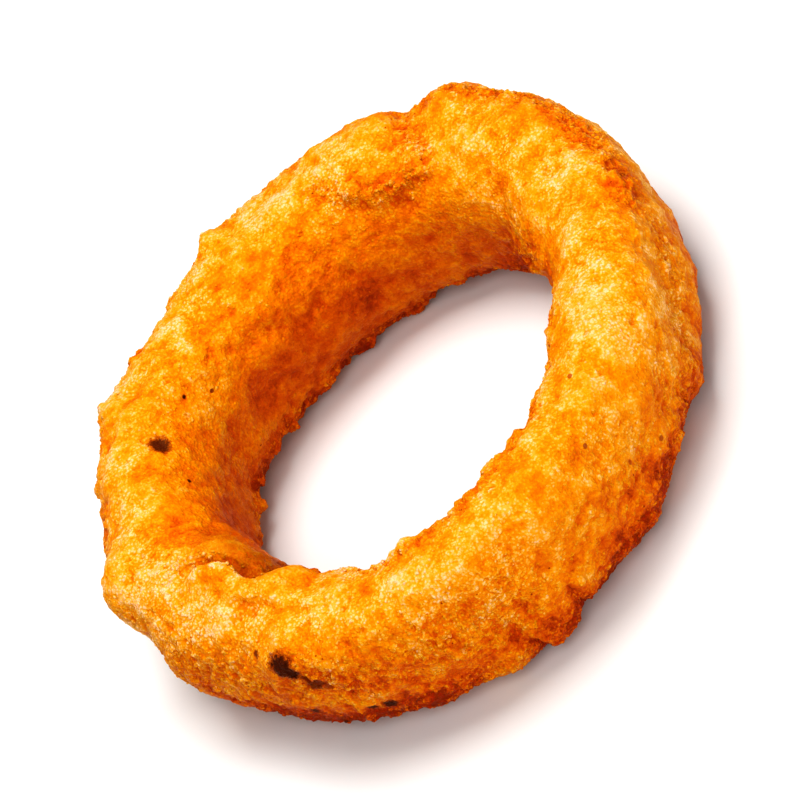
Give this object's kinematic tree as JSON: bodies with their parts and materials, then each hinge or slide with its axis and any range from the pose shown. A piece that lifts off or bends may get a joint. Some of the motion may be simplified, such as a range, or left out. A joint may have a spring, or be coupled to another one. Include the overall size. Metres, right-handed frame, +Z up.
{
  "type": "onion ring",
  "caption": "Battered, deep-fried onion ring: a thick uneven ring of lumpy golden crust with an open middle, lying flat.",
  "frame": {"origin": "on the surface the ring rests on, under the middle of its box", "axes": "+Z up along the axis of the ring; +X and +Y across it"},
  "size_m": [0.0804, 0.0794, 0.0226],
  "materials": {
    "crust": "rough golden fried batter with a faint sheen of oil"
  },
  "bodies": {
    "root": {"onion_ring": "crust"}
  },
  "joints": []
}
